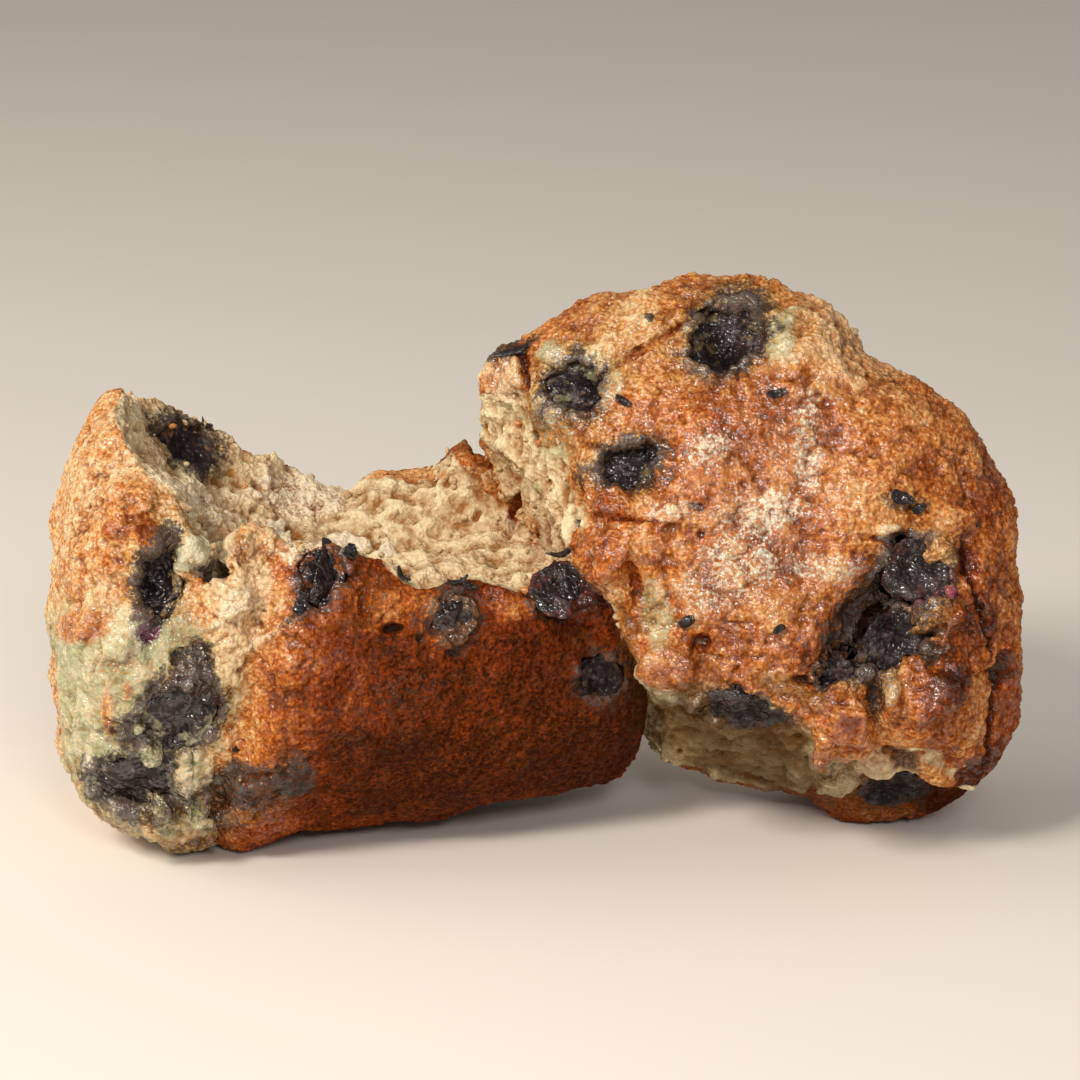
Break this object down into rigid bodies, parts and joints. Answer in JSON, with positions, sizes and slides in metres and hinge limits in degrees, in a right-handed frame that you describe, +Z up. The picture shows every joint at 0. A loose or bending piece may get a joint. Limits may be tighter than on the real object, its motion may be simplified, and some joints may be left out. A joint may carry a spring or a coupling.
{
  "type": "torn blueberry muffin",
  "caption": "Blueberry muffin torn open by hand: one half lies torn face up, the other leans on it with its baked dome to the front.",
  "frame": {"origin": "on the floor, under the middle of the whole", "axes": "+X to the right along both halves, +Y to the back, +Z up; the dome of the right half faces -Y"},
  "size_m": [0.1306, 0.061, 0.0742],
  "materials": {
    "crust": "baked muffin crust, golden to brown, with pale crumb where it is torn",
    "berry": "baked blueberry, dark purple to black, wrinkled and moist"
  },
  "bodies": {
    "root": {"muffin": "crust", "berry_left_inside": "berry", "berry_left_end_upper": "berry", "berry_left_end_middle": "berry", "berry_left_end_lower": "berry", "berry_left_rim_first": "berry", "berry_left_rim_second": "berry", "berry_left_rim_third": "berry", "berry_left_side": "berry", "berry_dome_top": "berry", "berry_dome_left": "berry", "berry_dome_left_lower": "berry", "berry_dome_right_upper": "berry", "berry_dome_right_lower": "berry", "berry_dome_right_small": "berry", "berry_under_dome": "berry", "berry_foot": "berry", "berry_back_left": "berry", "berry_back_torn": "berry"}
  },
  "joints": []
}
